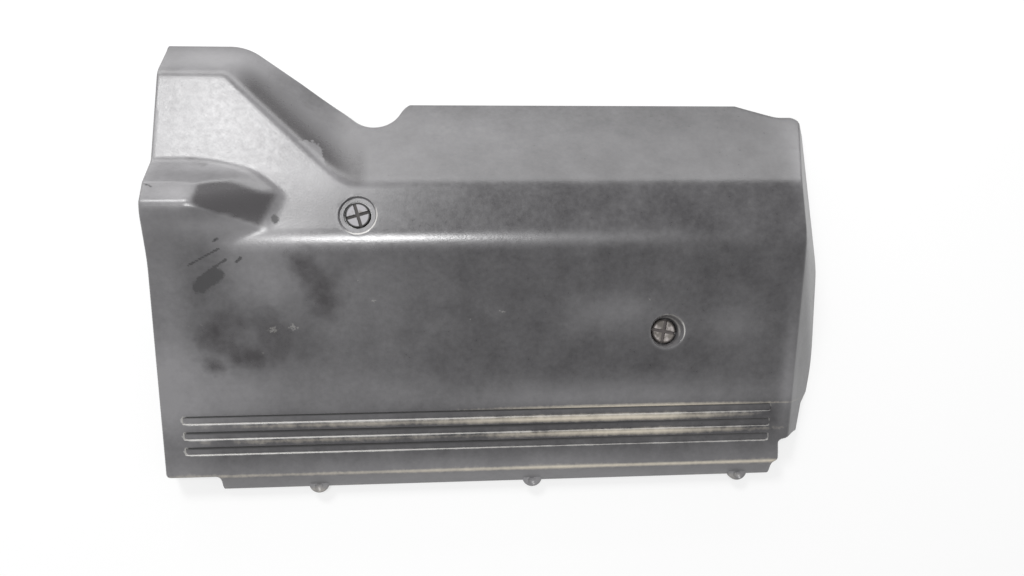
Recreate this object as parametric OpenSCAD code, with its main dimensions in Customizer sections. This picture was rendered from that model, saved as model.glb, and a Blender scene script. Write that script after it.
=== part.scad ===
// Moulded engine cover with two captive quarter-turn studs, lying outside face up.
// Origin: middle of the footprint, at the height the cover rests on. +X right, +Y back, +Z up.

/* [Node] */
// Which sub-part to build

/* [Whole cover] */
// Overall width along X
overall_width = 490; // [440:1:540]
// Overall depth along Y, front pegs included
overall_depth = 330; // [320:1:345]
// Wall thickness of the moulding
wall = 2.8; // [2:0.1:3.5]

/* [Roof] */
// Distance of the ridge line behind the middle of the footprint
ridge_y = 17.2; // [12:0.1:22]
// Height at which the front face and the rear deck would meet
ridge_z = 64; // [58:0.5:70]
// Slope of the front face in degrees
face_slope = 15; // [12:0.5:17]
// Slope of the rear deck in degrees
deck_slope = 15; // [12:0.5:18]
// Radius along the ridge
ridge_r = 14; // [6:0.5:20]
// Where the right side wall leaves the roof
roof_right_x = 210.3; // [200:0.1:220]
// How far the left wall leans out by the time it reaches the rim
left_lean = 2.8; // [1:0.1:6]

/* [Rear flanges] */
// Rim line of the straight rear flange
rear_rim_y = 122.1; // [116:0.1:128]
// Slope of the straight rear flange in degrees
rear_slope = 39.2; // [34:0.1:45]
// Radius of the bend above the straight rear flange
rear_bend_r = 10; // [4:0.5:16]
// Slope of the flange round the lobe in degrees
lobe_slope = 50; // [48:0.5:56]
// Angle of the lobe's diagonal rim to X in degrees
diagonal_angle = 34.8; // [30:0.1:40]
// Distance of the diagonal rim from the middle of the footprint
diagonal_offset = 28.1; // [20:0.1:36]
// Rim radius where the lobe turns into the diagonal
lobe_corner_r = 38; // [36:1:60]
// Middle of the hose cut-out between diagonal and rear flange, along X
hose_x = -94.4; // [-100:0.1:-88]
// Middle of the hose cut-out, along Y
hose_y = 123.2; // [121:0.1:126]
// Radius of the hose cut-out
hose_r = 21.3; // [19:0.1:23]
// Where the rear rim starts to draw in towards the right
relief_x = 181.5; // [170:0.5:190]
// How much the rear rim draws in per millimetre
relief_slope = 0.33; // [0.2:0.01:0.4]
// Where the rear rim ends at the right side, along Y
rear_corner_y = 112; // [110:0.1:118]
// Where the rear right corner is cut off, along X
rear_cut_x = 225.2; // [221:0.1:228]
// Angle of that cut to X in degrees
rear_cut_angle = 50; // [40:1:60]

/* [Right side wall] */
// Where the right rim is widest, along Y
right_bend_y = -5; // [-12:0.5:2]
// Lean of the wall beside the front face in degrees
right_front_lean = 37.5; // [32:0.5:42]
// How far the wall beside the ridge is turned towards the front in degrees
right_middle_turn = 4; // [3:0.1:6]
// How far the wall beside the rear deck is turned towards the rear in degrees
right_rear_turn = 5.5; // [4:0.1:7]

/* [Front] */
// Distance from the ears' tips back to the end of the front face
front_setback = 15.5; // [12:0.1:19]
// Lean of the front wall in degrees
front_lean = 3; // [1:0.5:6]
// Left end of the front skirt
skirt_left_x = -206.5; // [-215:0.5:-195]
// Right end of the front skirt
skirt_right_x = 201; // [190:0.5:202]
// Slope of the front skirt in degrees
skirt_slope = 46.8; // [44:0.1:50]
// Height of the raised front rim above the ground
front_rim_z = 8; // [7:0.1:9]
// Distance from the end of the face back to where the rim drops to the ground
front_rim_back = 49.5; // [44:0.5:53]
// Length over which the rim comes down to the ground there
front_rim_run = 7.5; // [5:0.5:10]
// Right end of the front, measured at its rim
front_right_x = 210; // [206:0.1:214]
// Lean of the right end of the front in degrees
front_right_lean = 23; // [10:1:30]
// Distance from the end of the face back to the cut-off front right corner
front_cut_back = 18; // [14:0.1:20]
// Angle of that cut to X in degrees
front_cut_angle = 14; // [8:1:20]

/* [Raised pad] */
// Height of the pad's flat crest
pad_top_z = 78; // [74:0.1:80]
// Rear edge of the pad, along Y
pad_rear_y = 56; // [53:0.1:58]
// Height of the pad's rear edge
pad_rear_z = 69.5; // [66:0.1:72]
// Where the pad starts to ramp down, along X
pad_ramp_x = -208.2; // [-212:0.1:-202]

/* [Grooves] */
// Number of grooves
groove_count = 3; // [1:1:3]
// Left end of the grooves
groove_left_x = -228.8; // [-232:0.1:-150]
// Right end of the grooves
groove_right_x = 195.3; // [120:0.1:197]
// Distance from the end of the face back to the middle of the rearmost groove
groove_first_back = 42.6; // [41:0.1:50]
// Spacing of the grooves
groove_pitch = 11.4; // [9:0.1:11.8]
// Groove width
groove_width = 5.9; // [4:0.1:7]
// Groove depth
groove_depth = 1.4; // [0.8:0.1:2]
// Groove corner radius
groove_corner_r = 1.4; // [0.5:0.1:1.9]

/* [Stud seats] */
// Left stud, along X
left_stud_x = -102.5; // [-108:0.1:-97]
// Left stud, along Y
left_stud_y = 34.3; // [32:0.1:38]
// Height of the left seat
left_seat_z = 53.8; // [53:0.1:55]
// Right stud, along X
right_stud_x = 114.2; // [105:0.1:122]
// Right stud, along Y
right_stud_y = -49.5; // [-55:0.1:-44]
// Height of the right seat
right_seat_z = 32.2; // [31:0.1:34]
// Radius of the shallow dish round the left stud
dish_r = 13; // [11.5:0.1:14]
// Depth of the shallow dish
dish_depth = 2; // [1:0.1:2.5]
// Mouth radius of the deep well round the right stud
well_mouth_r = 12.1; // [11:0.1:13]
// Depth of a seat's floor
seat_floor = 3; // [2.5:0.1:4]
// Gap round a head in its seat
head_gap = 0.75; // [0.4:0.05:1]
// Gap round a shank in its hole
shank_gap = 0.08; // [0.04:0.01:0.1]

/* [Studs] */
// Head radius
head_r = 8.75; // [8:0.05:9.5]
// Head thickness
head_t = 3.6; // [3:0.1:4.5]
// Rounded-off edge of the head
head_edge = 0.5; // [0.2:0.1:0.8]
// Width of the crossed slots
slot_width = 2.3; // [1.8:0.1:3]
// Depth of the crossed slots
slot_depth = 2; // [1:0.1:2.4]
// Shank radius
shank_r = 4; // [3.5:0.1:4.5]
// Length below the head
shank_length = 26; // [22:0.5:26]
// Radius of the plain pilot at the tip
pilot_r = 3.3; // [2.8:0.1:3.4]
// Length of the pilot
pilot_length = 4.5; // [3:0.1:4.9]
// Bevel on the pilot's end
pilot_edge = 0.5; // [0.2:0.1:0.8]
// Height of the cross pin above the tip
pin_height = 7; // [6.8:0.1:8.5]
// Cross pin radius
pin_r = 1.5; // [1.2:0.1:1.8]
// Cross pin length
pin_length = 13; // [12:0.1:15]
// Outer radius of the retaining washer
washer_r = 7.4; // [6:0.1:8]
// Thickness of the retaining washer
washer_t = 1.2; // [0.8:0.1:2]
// Play between washer and seat floor
washer_play = 0.5; // [0.3:0.1:1]
// Turn of the left head's slots in degrees
left_turn = 16; // [0:1:45]
// Turn of the right head's slots in degrees
right_turn = -12; // [-45:1:45]

/* [Front pegs] */
// Number of pegs
peg_count = 3; // [2:1:3]
// Middle peg, along X
peg_middle_x = 19.3; // [15:0.1:24]
// Spacing of the pegs
peg_spacing = 157; // [145:0.5:160]
// Radius of the ear above a peg
ear_r = 7.5; // [6.5:0.1:8]
// Height of the ear's underside
ear_low_z = 5; // [4:0.1:6]
// Height of the ear's top
ear_top_z = 10.5; // [9.5:0.1:11]
// Radius of the dimple in an ear
dimple_r = 2.9; // [2:0.1:3]
// Depth of the dimple
dimple_depth = 1.2; // [0.6:0.1:2]
// Distance of the dimple's middle from the ear's tip
dimple_inset = 4.2; // [4:0.1:5]
// Peg radius
peg_r = 5.5; // [4.5:0.1:6]
// Radius of the hollow in a peg
peg_bore_r = 3.2; // [2:0.1:3.5]
// Depth of the hollow in a peg
peg_bore_depth = 6.5; // [4:0.1:7]

/* [Ribs underneath] */
// Number of ribs along Y
rib_count = 4; // [2:1:4]
// Rib nearest the left
rib_first_x = -150; // [-155:1:-140]
// Spacing of the ribs
rib_spacing = 100; // [95:1:102]
// Rib depth below the roof
rib_depth = 8; // [5:0.5:10]
// Rib thickness
rib_t = 2; // [1.5:0.1:2.5]

/* [Hidden] */
$fn = 64;
BIG = 1600;
SNUG = cos(3);
half_w = overall_width / 2;
half_d = overall_depth / 2;
face_front_y = -half_d + front_setback;
front_rim_y = face_front_y + front_rim_back;
front_cut_y = face_front_y + front_cut_back;
groove_first_y = face_front_y + groove_first_back;
left_x = -half_w + left_lean;
face_g = tan(face_slope);
deck_g = tan(deck_slope);
lobe_g = tan(lobe_slope);
seat_r = head_r + head_gap;
tower_r = seat_r + wall;
lobe_rim_y = half_d;
peg_y = -half_d + ear_r;
diag_n = [sin(diagonal_angle), cos(diagonal_angle)];
diag_t = [cos(diagonal_angle), -sin(diagonal_angle)];
black = [0.055, 0.055, 0.058];
zinc = [0.62, 0.61, 0.60];

function roof_z(y) = y > ridge_y ? ridge_z - deck_g * (y - ridge_y)
                                 : ridge_z - face_g * (ridge_y - y);

// Everything under the plane through p that rises by gx and gy, lowered by t square to it
module under(p, gx, gy, t) {
    translate(p)
        rotate([0, 0, atan2(gy, gx)])
            rotate([0, -atan(norm([gx, gy])), 0])
                translate([-BIG / 2, -BIG / 2, -BIG - t])
                    cube(BIG);
}

// Roof profile across the ridge with its rounded top, drawn out along X
module roof(t) {
    top = [ridge_y, ridge_z];
    a = (face_slope + deck_slope) / 2;
    lift = ridge_r * SNUG / cos(a);
    mid = [top[0] + lift * sin((deck_slope - face_slope) / 2), top[1] - lift];
    f = mid + ridge_r * SNUG * [-sin(face_slope), cos(face_slope)];
    d = mid + ridge_r * SNUG * [sin(deck_slope), cos(deck_slope)];
    translate([-half_w - 60, 0, 0])
        rotate([90, 0, 90])
            linear_extrude(2 * half_w + 120)
                difference() {
                    union() {
                        polygon([[-half_d - 40, -30],
                                 [-half_d - 40, f[1] - face_g * (f[0] + half_d + 40) - t / cos(face_slope)],
                                 f + t * [sin(face_slope), -cos(face_slope)],
                                 d - t * [sin(deck_slope), cos(deck_slope)],
                                 [half_d + 60, d[1] - deck_g * (half_d + 60 - d[0]) - t / cos(deck_slope)],
                                 [half_d + 60, -30]]);
                        translate(mid) circle(ridge_r - t);
                    }
                }
}

// Raised pad at the left edge, cut by its flat top and eight sloping faces
module pad(t) {
    px = pad_ramp_x;
    py = pad_rear_y;
    crest = [px + 1, py - 16.9, pad_top_z - 0.7];
    intersection() {
        under([0, py, pad_rear_z], 0, -1.196, t);
        under([px, py, pad_rear_z], -0.217, -1.162, t);
        under([px + 44.6, py + 1.5, pad_rear_z - 16.3], -0.428, -0.808, t);
        under([0, py, pad_rear_z], 0, -0.62, t);
        under([0, 0, pad_top_z], 0, 0, t);
        under([0, py - 18.5, pad_top_z - 0.5], 0, 0.55, t);
        under([px, py, pad_rear_z], -0.319, -0.49, t);
        under(crest, -0.407, -0.09, t);
        under(crest, -0.227, 0.5, t);
        translate([-half_w - 60, -20, 20]) cube([180, 120, 80]);
    }
}

// Rear flange with its rounded bend
module rear_flange(t) {
    gap = rear_rim_y - ridge_y;
    g = tan(rear_slope);
    y = ridge_y + (g * gap - ridge_z) / (g - deck_g);
    z = roof_z(y);
    a = (rear_slope - deck_slope) / 2;
    r = rear_bend_r * SNUG;
    back = r * tan(a);
    e1 = [y - back * cos(deck_slope), z + back * sin(deck_slope)];
    mid = e1 - r * [sin(deck_slope), cos(deck_slope)];
    e2 = mid + r * [sin(rear_slope), cos(rear_slope)];
    translate([-half_w - 60, 0, 0])
        rotate([90, 0, 90])
            linear_extrude(2 * half_w + 120)
                union() {
                    polygon([[-half_d - 60, -30], [-half_d - 60, 160], [e1[0] - t * sin(deck_slope), 160],
                             e1 - t * [sin(deck_slope), cos(deck_slope)],
                             e2 - t * [sin(rear_slope), cos(rear_slope)],
                             [rear_rim_y - t / sin(rear_slope) + 30 / g, -30]]);
                    translate(mid) circle(rear_bend_r - t);
                }
}

// Lobe at the rear left: straight rim, diagonal rim and the cone that rounds their corner
module lobe(t) {
    half_turn = diagonal_angle / 2;
    reach = lobe_corner_r * SNUG * tan(half_turn);
    corner_x = (diagonal_offset - lobe_rim_y * diag_n[1]) / diag_n[0];
    cx = corner_x - reach;
    cy = lobe_rim_y - lobe_corner_r * SNUG;
    h = 34;
    low = 12;
    drop = t / sin(lobe_slope);
    intersection() {
        under([0, lobe_rim_y, 0], 0, -lobe_g, t);
        under([diagonal_offset * diag_n[0], diagonal_offset * diag_n[1], 0],
              -lobe_g * diag_n[0], -lobe_g * diag_n[1], t);
        union() {
            translate([cx, cy, -low])
                cylinder(h = h + low, r1 = lobe_corner_r - drop + low / lobe_g,
                         r2 = lobe_corner_r - drop - h / lobe_g);
            translate([cx - BIG, cy - BIG / 2, -BIG / 2]) cube(BIG);
            translate([cx, cy, 0])
                rotate([0, 0, -diagonal_angle])
                    translate([0, -BIG / 2, -BIG / 2]) cube(BIG);
            translate([cx - BIG / 2, cy - BIG, -BIG / 2]) cube(BIG);
        }
    }
}

// Wall from the roof's right end down to the rim's widest point, turned about it by a
module wall_to_rim(a, t) {
    g = ridge_z / ((half_w - roof_right_x) * cos(a) - (ridge_y - right_bend_y) * sin(a));
    under([half_w, right_bend_y, 0], -g * cos(a), -g * sin(a), t);
}

// Right side wall: straight along the roof, bent in the middle along the rim
module right_side(t) {
    intersection() {
        under([roof_right_x, ridge_y, ridge_z], -1 / tan(right_front_lean), face_g, t);
        wall_to_rim(-right_middle_turn, t);
        wall_to_rim(right_rear_turn, t);
    }
}

// Front right corner drawn in, with a slanted cut behind it
module front_corner(t) {
    union() {
        under([front_right_x, 0, front_rim_z], -1 / tan(front_right_lean), 0, t);
        translate([front_right_x, front_cut_y, 0])
            rotate([0, 0, front_cut_angle])
                translate([-BIG / 2, t, -BIG / 2]) cube(BIG);
    }
}

// Cut-off corner between the rear rim and the right wall
module rear_corner(t) {
    translate([rear_cut_x, rear_corner_y, 0])
        rotate([0, 0, -rear_cut_angle])
            translate([-BIG / 2, -BIG - t, -BIG / 2]) cube(BIG);
}

// Rear rim drawn in towards the right, and its straight end after that
module rear_rim(t) {
    union() {
        translate([relief_x, rear_rim_y, 0])
            rotate([0, 0, -atan(relief_slope)])
                translate([-BIG / 2, -BIG - t, -BIG / 2]) cube(BIG);
        translate([-BIG / 2, rear_corner_y - BIG - t, -BIG / 2]) cube(BIG);
    }
}

// Front wall and the sloping skirt that stands out from it
module front(t) {
    z = roof_z(face_front_y);
    union() {
        under([0, face_front_y, z], 0, 1 / tan(front_lean), t);
        intersection() {
            under([0, face_front_y, z + 0.2], 0, tan(skirt_slope), t);
            translate([skirt_left_x + t, -BIG / 2, -BIG / 2])
                cube([skirt_right_x - skirt_left_x - 2 * t, BIG, BIG]);
        }
    }
}

// Space under the raised front rim, which comes down to the ground on a slope
module front_gap() {
    rotate([90, 0, 90])
        translate([0, 0, -BIG / 2])
            linear_extrude(BIG)
                polygon([[front_rim_y - BIG, -BIG], [front_rim_y, -BIG], [front_rim_y, 0],
                         [front_rim_y - front_rim_run, front_rim_z],
                         [front_rim_y - BIG, front_rim_z]]);
}

// Upright cut through the flanges that lets a hose pass
module hose_cut() {
    translate([hose_x, hose_y, -1]) cylinder(h = 80, r = hose_r);
}

// Outer form at t = 0, inner form at t = wall
module form(t) {
    intersection() {
        union() {
            intersection() {
                roof(t);
                union() {
                    rear_flange(t);
                    lobe(t);
                }
            }
            pad(t);
        }
        under([left_x, 0, 50], 50 / left_lean, 0, t);
        right_side(t);
        front(t);
        front_corner(t);
        rear_rim(t);
        rear_corner(t);
    }
}

// Rounded slot standing on z = 0, drawn from exact shapes
module slot(l, w, h, r) {
    linear_extrude(h)
        union() {
            square([l - 2 * r, w], center = true);
            square([l, w - 2 * r], center = true);
            for (x = [-1, 1], y = [-1, 1])
                translate([x * (l / 2 - r), y * (w / 2 - r)]) circle(r);
        }
}

// Grooves along the front face; extra makes them larger and deeper all round
module grooves(extra) {
    for (i = [0:groove_count - 1]) {
        y = groove_first_y - i * groove_pitch;
        translate([(groove_left_x + groove_right_x) / 2, y, roof_z(y)])
            rotate([face_slope, 0, 0])
                translate([0, 0, -groove_depth - extra])
                    slot(groove_right_x - groove_left_x + 2 * extra,
                         groove_width + 2 * extra, groove_depth + extra + 3,
                         groove_corner_r + extra);
    }
}

// Space taken by a stud's seat: the round pocket for the head and the way in from above
module left_pocket() {
    translate([left_stud_x, left_stud_y, left_seat_z]) cylinder(h = 30, r = seat_r);
    translate([left_stud_x, left_stud_y, roof_z(left_stud_y)])
        rotate([-deck_slope, 0, 0])
            translate([0, 0, -dish_depth]) cylinder(h = 20, r = dish_r);
}

module right_pocket() {
    mouth = roof_z(right_stud_y);
    floor_z = right_seat_z + head_t;
    widen = (well_mouth_r - seat_r) / (mouth - floor_z);
    translate([right_stud_x, right_stud_y, right_seat_z]) cylinder(h = head_t + 0.01, r = seat_r);
    translate([right_stud_x, right_stud_y, floor_z])
        cylinder(h = 25, r1 = seat_r, r2 = seat_r + 25 * widen);
}

// Walls that carry the seats, before the pockets are cut
module towers() {
    translate([left_stud_x, left_stud_y, left_seat_z - seat_floor])
        cylinder(h = roof_z(left_stud_y) - left_seat_z + 8, r = tower_r);
    translate([left_stud_x, left_stud_y, roof_z(left_stud_y)])
        rotate([-deck_slope, 0, 0])
            translate([0, 0, -dish_depth - wall]) cylinder(h = 8, r = dish_r + wall);
    translate([right_stud_x, right_stud_y, right_seat_z - seat_floor])
        cylinder(h = 24, r = tower_r);
}

// Ribs that follow the roof underneath
module ribs() {
    y0 = face_front_y + 35;
    y1 = 62;
    for (i = [0:rib_count - 1])
        translate([rib_first_x + i * rib_spacing - rib_t / 2, 0, 0])
            rotate([90, 0, 90])
                linear_extrude(rib_t)
                    polygon([[y0, roof_z(y0) - wall - rib_depth], [y0, roof_z(y0) - wall / 2],
                             [ridge_y, ridge_z - wall], [y1, roof_z(y1) - wall / 2],
                             [y1, roof_z(y1) - wall - rib_depth],
                             [ridge_y, ridge_z - wall - rib_depth]]);
}

// Ears under the front skirt, with a dimple above and a hollow peg below
module pegs() {
    for (i = [0:peg_count - 1])
        translate([peg_middle_x + (i - (peg_count - 1) / 2) * peg_spacing, peg_y, 0])
            difference() {
                union() {
                    translate([0, 0, ear_low_z]) cylinder(h = ear_top_z - ear_low_z, r = ear_r);
                    cylinder(h = ear_low_z + 1, r = peg_r);
                }
                translate([0, dimple_inset - ear_r, ear_top_z - dimple_depth])
                    cylinder(h = dimple_depth + 1, r1 = dimple_r * 0.6, r2 = dimple_r * 1.33);
                translate([0, 0, -1]) cylinder(h = peg_bore_depth + 1, r = peg_bore_r);
            }
}

module cover_shell() {
    color(black)
        difference() {
            union() {
                difference() {
                    form(0);
                    difference() {
                        form(wall);
                        grooves(wall);
                    }
                    translate([-BIG / 2, -BIG / 2, -BIG]) cube(BIG);
                    front_gap();
                }
                intersection() {
                    form(wall / 2);
                    union() {
                        towers();
                        ribs();
                    }
                }
                pegs();
            }
            grooves(0);
            left_pocket();
            right_pocket();
            hose_cut();
            translate([left_stud_x, left_stud_y, 0]) cylinder(h = 70, r = shank_r + shank_gap);
            translate([right_stud_x, right_stud_y, 0]) cylinder(h = 60, r = shank_r + shank_gap);
        }
}

// Stud with its seat height at z = 0
module stud() {
    difference() {
        union() {
            cylinder(h = head_t - head_edge, r = head_r);
            translate([0, 0, head_t - head_edge])
                cylinder(h = head_edge, r1 = head_r, r2 = head_r - head_edge);
            translate([0, 0, pilot_length - shank_length])
                cylinder(h = shank_length - pilot_length + 1, r = shank_r);
            translate([0, 0, pilot_edge - shank_length])
                cylinder(h = pilot_length - pilot_edge + 1, r = pilot_r);
            translate([0, 0, -shank_length])
                cylinder(h = pilot_edge, r1 = pilot_r - pilot_edge, r2 = pilot_r);
        }
        for (a = [0, 90])
            rotate([0, 0, a])
                translate([-head_r - 1, -slot_width / 2, head_t - slot_depth])
                    cube([2 * head_r + 2, slot_width, slot_depth + 1]);
        translate([0, 0, pin_height - shank_length])
            rotate([0, 90, 0])
                cylinder(h = 2 * shank_r + 2, r = pin_r, center = true);
    }
}

// Push-on washer that keeps the stud in the cover
module washer() {
    translate([0, 0, -seat_floor - washer_play - washer_t])
        difference() {
            cylinder(h = washer_t, r = washer_r);
            translate([0, 0, -1]) cylinder(h = washer_t + 2, r = shank_r);
        }
}

// Cross pin that locks a quarter turn in the engine's bracket
module cross_pin() {
    translate([0, 0, pin_height - shank_length])
        rotate([0, 90, 0])
            cylinder(h = pin_length, r = pin_r, center = true);
}

module at_left() {
    translate([left_stud_x, left_stud_y, left_seat_z]) rotate([0, 0, left_turn]) children();
}

module at_right() {
    translate([right_stud_x, right_stud_y, right_seat_z]) rotate([0, 0, right_turn]) children();
}

module left_quarter_turn_stud() { color(zinc) at_left() stud(); }
module right_quarter_turn_stud() { color(zinc) at_right() stud(); }
module left_retaining_washer() { color(zinc) at_left() washer(); }
module right_retaining_washer() { color(zinc) at_right() washer(); }
module left_cross_pin() { color(zinc) at_left() cross_pin(); }
module right_cross_pin() { color(zinc) at_right() cross_pin(); }

cover_shell();
left_quarter_turn_stud();
right_quarter_turn_stud();
left_retaining_washer();
right_retaining_washer();
left_cross_pin();
right_cross_pin();
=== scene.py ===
# %% [markdown]
# # A moulded engine cover, dressed on its CAD frame
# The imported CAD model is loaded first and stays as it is: it holds the true places and
# sizes. The cover's skin is then built again as a fine mesh with soft bends, because a
# moulding has no knife edges, and the studs, washers and pins keep their CAD meshes.

# %% Load the frame
import math
import bpy
import bmesh
import numpy as np
from mathutils import Matrix, Vector
from mathutils.geometry import delaunay_2d_cdt
from mathutils.kdtree import KDTree


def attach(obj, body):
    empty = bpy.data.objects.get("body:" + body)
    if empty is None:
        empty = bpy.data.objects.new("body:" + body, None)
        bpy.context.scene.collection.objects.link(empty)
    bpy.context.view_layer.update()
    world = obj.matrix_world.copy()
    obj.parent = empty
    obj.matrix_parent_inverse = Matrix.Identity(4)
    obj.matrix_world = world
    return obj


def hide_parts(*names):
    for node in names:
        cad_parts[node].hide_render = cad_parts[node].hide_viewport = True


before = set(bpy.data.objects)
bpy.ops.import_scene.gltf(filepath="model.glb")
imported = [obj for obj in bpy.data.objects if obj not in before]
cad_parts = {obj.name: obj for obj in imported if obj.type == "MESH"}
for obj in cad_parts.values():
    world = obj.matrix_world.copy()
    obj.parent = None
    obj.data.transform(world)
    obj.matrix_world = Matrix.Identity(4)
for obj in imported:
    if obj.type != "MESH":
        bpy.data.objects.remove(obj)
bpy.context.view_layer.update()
MM = 0.001

# %% [markdown]
# ## Camera
# The photograph looks almost straight down. Its place and turn come from lines of the
# cover that are level and parallel on the real part, such as the ridge and the grooves.
# The matrix columns are the camera's right, up and backward directions.

# %% Camera
PHOTO_PX, FOCAL_PX = 1024, 843
camera_place = Vector((-42.1, -18.2, 638.1)) * MM
yaw, pitch, roll = (math.radians(a) for a in (4.380, 0.154, -0.742))
turn_y = Matrix(((math.cos(yaw), 0, -math.sin(yaw)), (0, 1, 0), (math.sin(yaw), 0, math.cos(yaw))))
camera_turn = turn_y @ Matrix.Rotation(pitch, 3, "X") @ Matrix.Rotation(roll, 3, "Z")
camera = bpy.data.objects.new("camera", bpy.data.cameras.new("camera"))
bpy.context.scene.collection.objects.link(camera)
camera.matrix_world = Matrix.Translation(camera_place) @ camera_turn.to_4x4()
camera.data.sensor_width = 36
camera.data.lens = camera.data.sensor_width * FOCAL_PX / PHOTO_PX
camera.data.clip_start = 0.01
bpy.context.scene.camera = camera
print("camera lens", round(camera.data.lens, 2), "mm")

# %% [markdown]
# ## The outer form as heights
# Seen from above, every face of the cover is visible, so its outside is one height for
# each place in plan: the lowest of several sloping planes. Taking a soft minimum instead
# of a hard one rounds the bends, as the mould does. `drop` lowers each face square to
# itself, which gives the inside of the wall from the same numbers.

# %% Planes and soft joins, in millimetres
WALL = 2.8
HALF_W, HALF_D = 245.0, 165.0


def plane(x, y, at, rise_x, rise_y, drop=0.0):
    """Height of a sloping plane through a point, lowered square to itself."""
    px, py, pz = at
    return pz + rise_x * (x - px) + rise_y * (y - py) - drop * math.sqrt(1 + rise_x**2 + rise_y**2)


def soft_min(a, b, reach):
    """The lower of two heights, blended where they differ by less than the reach."""
    overlap = np.maximum(reach - np.abs(a - b), 0) / reach
    return np.minimum(a, b) - overlap**2 * reach / 4


def soft_max(a, b, reach):
    """The higher of two heights, blended in the same way."""
    return -soft_min(-a, -b, reach)


def smooth_step(value):
    """0 below 0, 1 above 1 and a smooth curve between."""
    value = np.clip(value, 0, 1)
    return value * value * (3 - 2 * value)


print("a 4 mm reach lowers a bend by", -soft_min(0.0, 0.0, 4.0), "mm")

# %% [markdown]
# The face rises to the ridge, and the deck falls behind it at the same angle. The ridge is
# soft and opens a little more towards the left end. A bevel would have one width all
# along, but here the reach of the soft join can simply grow with x.

# %% Face and deck meet at the ridge
RIDGE_Y, RIDGE_Z = 17.2, 64.0
ROOF_RISE = math.tan(math.radians(15))
RIDGE_REACH, RIDGE_OPENS = 4.4, 0.6
RIDGE_OPENS_X, RIDGE_OPENS_RUN = -60, 90


def roof(x, y, drop=0.0):
    """Height of the face or the deck, whichever is lower."""
    face = plane(x, y, (0, RIDGE_Y, RIDGE_Z), 0, ROOF_RISE, drop)
    deck = plane(x, y, (0, RIDGE_Y, RIDGE_Z), 0, -ROOF_RISE, drop)
    opening = RIDGE_OPENS * smooth_step((RIDGE_OPENS_X - x) / RIDGE_OPENS_RUN)
    return soft_min(face, deck, RIDGE_REACH + opening)


print("ridge height", round(float(roof(np.array(0.0), np.array(RIDGE_Y))), 2), "mm")

# %% [markdown]
# Behind the deck a flange bends down to the rear rim. At the left a lobe runs further
# back: its rim is straight, turns round a corner and comes back on a slant. The lobe's
# flange is the distance from that rim times its slope, so the corner becomes part of a
# cone by itself.

# %% Rear flange and lobe
REAR_Y = 122.1
REAR_RISE = math.tan(math.radians(39.2))
LOBE_RISE = math.tan(math.radians(50))
LOBE_Y, LOBE_CORNER_R, LOBE_REACH = HALF_D, 38.0, 7.0
DIAGONAL = math.radians(34.8)
DIAGONAL_AT = 28.1
diagonal_out = np.array([math.sin(DIAGONAL), math.cos(DIAGONAL)])
diagonal_along = np.array([math.cos(DIAGONAL), -math.sin(DIAGONAL)])
lobe_centre = np.array([
    (DIAGONAL_AT - LOBE_Y * diagonal_out[1]) / diagonal_out[0] - LOBE_CORNER_R * math.tan(DIAGONAL / 2),
    LOBE_Y - LOBE_CORNER_R])


def rear(x, y, drop=0.0):
    """Height of the rear flange or the lobe's, whichever is higher."""
    flange = plane(x, y, (0, REAR_Y, 0), 0, -REAR_RISE, drop)
    straight = LOBE_Y - y
    slanting = DIAGONAL_AT - (diagonal_out[0] * x + diagonal_out[1] * y)
    ux, uy = x - lobe_centre[0], y - lobe_centre[1]
    in_corner = (ux > 0) & (ux * diagonal_along[0] + uy * diagonal_along[1] < 0)
    inside = np.where(in_corner, LOBE_CORNER_R - np.hypot(ux, uy), np.minimum(straight, slanting))
    lobe = LOBE_RISE * inside - drop * math.hypot(1, LOBE_RISE)
    return soft_max(flange, lobe, LOBE_REACH)


print("lobe corner centre", lobe_centre.round(1), "mm")

# %% [markdown]
# A raised pad stands at the left edge, with a level top and a ramp down to the right. It
# is the lowest of nine planes. Each plane joins the ones before it over a reach of its
# own, because some of the pad's edges are crisp and others are soft.

# %% Raised pad at the left edge
PAD_X, PAD_Y, PAD_Z, PAD_TOP = -208.2, 56.0, 69.5, 78.0
FAR_ABOVE = 1000.0
PAD_FACES = {
    "rear": ((0, PAD_Y, PAD_Z), 0, -1.196, 1.0),
    "rear, turned": ((PAD_X, PAD_Y, PAD_Z), -0.217, -1.162, 3.0),
    "rear, right end": ((PAD_X + 44.6, PAD_Y + 1.5, PAD_Z - 16.3), -0.428, -0.808, 3.0),
    "behind the top": ((0, PAD_Y, PAD_Z), 0, -0.62, 0.5),
    "top": ((0, 0, PAD_TOP), 0, 0, 0.6),
    "front": ((0, PAD_Y - 21.0, PAD_TOP - 0.5), 0, 0.55, 2.6),
    "ramp, rear half": ((PAD_X + 1.5, PAD_Y, PAD_Z), -0.319, -0.56, 1.0),
    "ramp, front half": ((PAD_X + 3, PAD_Y - 16.9, 77.3), -0.407, -0.09, 2.5),
    "front, right end": ((PAD_X + 1, PAD_Y - 18.7, 77.3), -0.227, 0.5, 1.4)}


def pad(x, y, drop=0.0):
    """Height of the pad; each face has a point, two rises and the reach of its join."""
    height = FAR_ABOVE
    for at, rise_x, rise_y, reach in PAD_FACES.values():
        height = soft_min(height, plane(x, y, at, rise_x, rise_y, drop), reach)
    return height


print("pad faces:", len(PAD_FACES))

# %% [markdown]
# The right side is three plane walls: one leans far out beside the face, and two steeper
# ones beside the ridge and the deck meet at the rim's widest point. At the front the face
# ends in a short skirt. They are planes too, so the same soft minimum joins them all.

# %% Right wall
RIGHT_TOP = (210.3, RIDGE_Y, RIDGE_Z)
FACE_END_LEAN = math.tan(math.radians(37.5))
BEND_Y, RIDGE_SIDE_TURN, DECK_SIDE_TURN = -5.0, 4.0, 5.5
WALL_REACH = 3.0


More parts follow.
